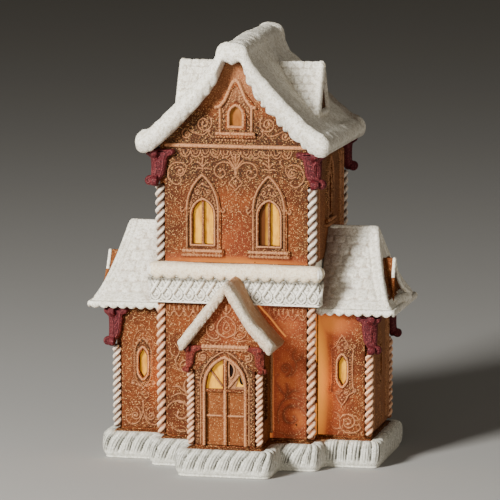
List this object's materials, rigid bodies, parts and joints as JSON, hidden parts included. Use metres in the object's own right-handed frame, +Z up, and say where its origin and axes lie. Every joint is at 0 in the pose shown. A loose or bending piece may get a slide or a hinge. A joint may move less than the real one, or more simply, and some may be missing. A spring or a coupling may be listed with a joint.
{
  "type": "gingerbread house ornament",
  "caption": "Cast resin gingerbread house ornament: gabled tower on a lower block with porch and hipped side wings, snowy icing roofs, twisted rope columns and a piped base.",
  "frame": {"origin": "under the middle of the house, on the plane it rests on", "axes": "+Z up, the porch and door face -Y, the wings lie along X"},
  "size_m": [0.2112, 0.1612, 0.2917],
  "materials": {
    "gingerbread": "cast resin painted as gingerbread, dusted with fine glitter, recesses darkened",
    "dark_gingerbread": "cast resin painted as darker gingerbread",
    "door": "cast resin painted as gingerbread, with moulded leaves",
    "roof_snow": "matte white paint with fine crystal glitter",
    "trim_icing": "satin white paint, washed grey in its recesses",
    "piped_icing": "satin white paint over fine piped grooves",
    "rope_icing": "satin off-white paint, brownish between the strands",
    "bracket": "satin burgundy paint, worn paler on the edges",
    "window_pane": "translucent amber pane, lit from within"
  },
  "bodies": {
    "root": {"icing_base": "piped_icing", "ground_board": "gingerbread", "lower_block": "gingerbread", "block_pane_right": "window_pane", "block_pane_left": "window_pane", "lattice_frieze": "trim_icing", "icing_roll": "trim_icing", "tower_walls": "gingerbread", "tower_pane_front_left": "window_pane", "tower_pane_front_right": "window_pane", "tower_pane_attic": "window_pane", "tower_pane_back_left": "window_pane", "tower_pane_back_right": "window_pane", "tower_pane_side_left": "window_pane", "tower_pane_side_right": "window_pane", "tower_roof": "roof_snow", "cross_gable_left": "dark_gingerbread", "cross_gable_right": "dark_gingerbread", "right_wing_walls": "gingerbread", "right_wing_pane_front": "window_pane", "right_wing_pane_back": "window_pane", "right_wing_pane_side": "window_pane", "right_wing_roof": "roof_snow", "right_wing_dormer": "dark_gingerbread", "left_wing_walls": "gingerbread", "left_wing_pane_back": "window_pane", "left_wing_pane_front": "window_pane", "left_wing_pane_side": "window_pane", "left_wing_roof": "roof_snow", "left_wing_dormer": "dark_gingerbread", "porch_walls": "gingerbread", "porch_pane_right": "window_pane", "porch_pane_left": "window_pane", "door_light": "window_pane", "door_leaves": "door", "porch_roof": "roof_snow", "tower_rope_front_left": "rope_icing", "tower_rope_front_right": "rope_icing", "tower_rope_back_right": "rope_icing", "tower_rope_back_left": "rope_icing", "block_rope_front_left": "rope_icing", "block_rope_front_right": "rope_icing", "wing_rope_front_left": "rope_icing", "wing_rope_front_right": "rope_icing", "wing_rope_back_right": "rope_icing", "wing_rope_back_left": "rope_icing", "porch_rope_front_left": "rope_icing", "porch_rope_front_right": "rope_icing", "tower_bracket_front_left": "bracket", "tower_bracket_front_right": "bracket", "tower_bracket_back_right": "bracket", "tower_bracket_back_left": "bracket", "wing_bracket_front_left": "bracket", "wing_bracket_front_right": "bracket", "wing_bracket_back_right": "bracket", "wing_bracket_back_left": "bracket", "porch_bracket_front_left": "bracket", "porch_bracket_front_right": "bracket"}
  },
  "joints": []
}
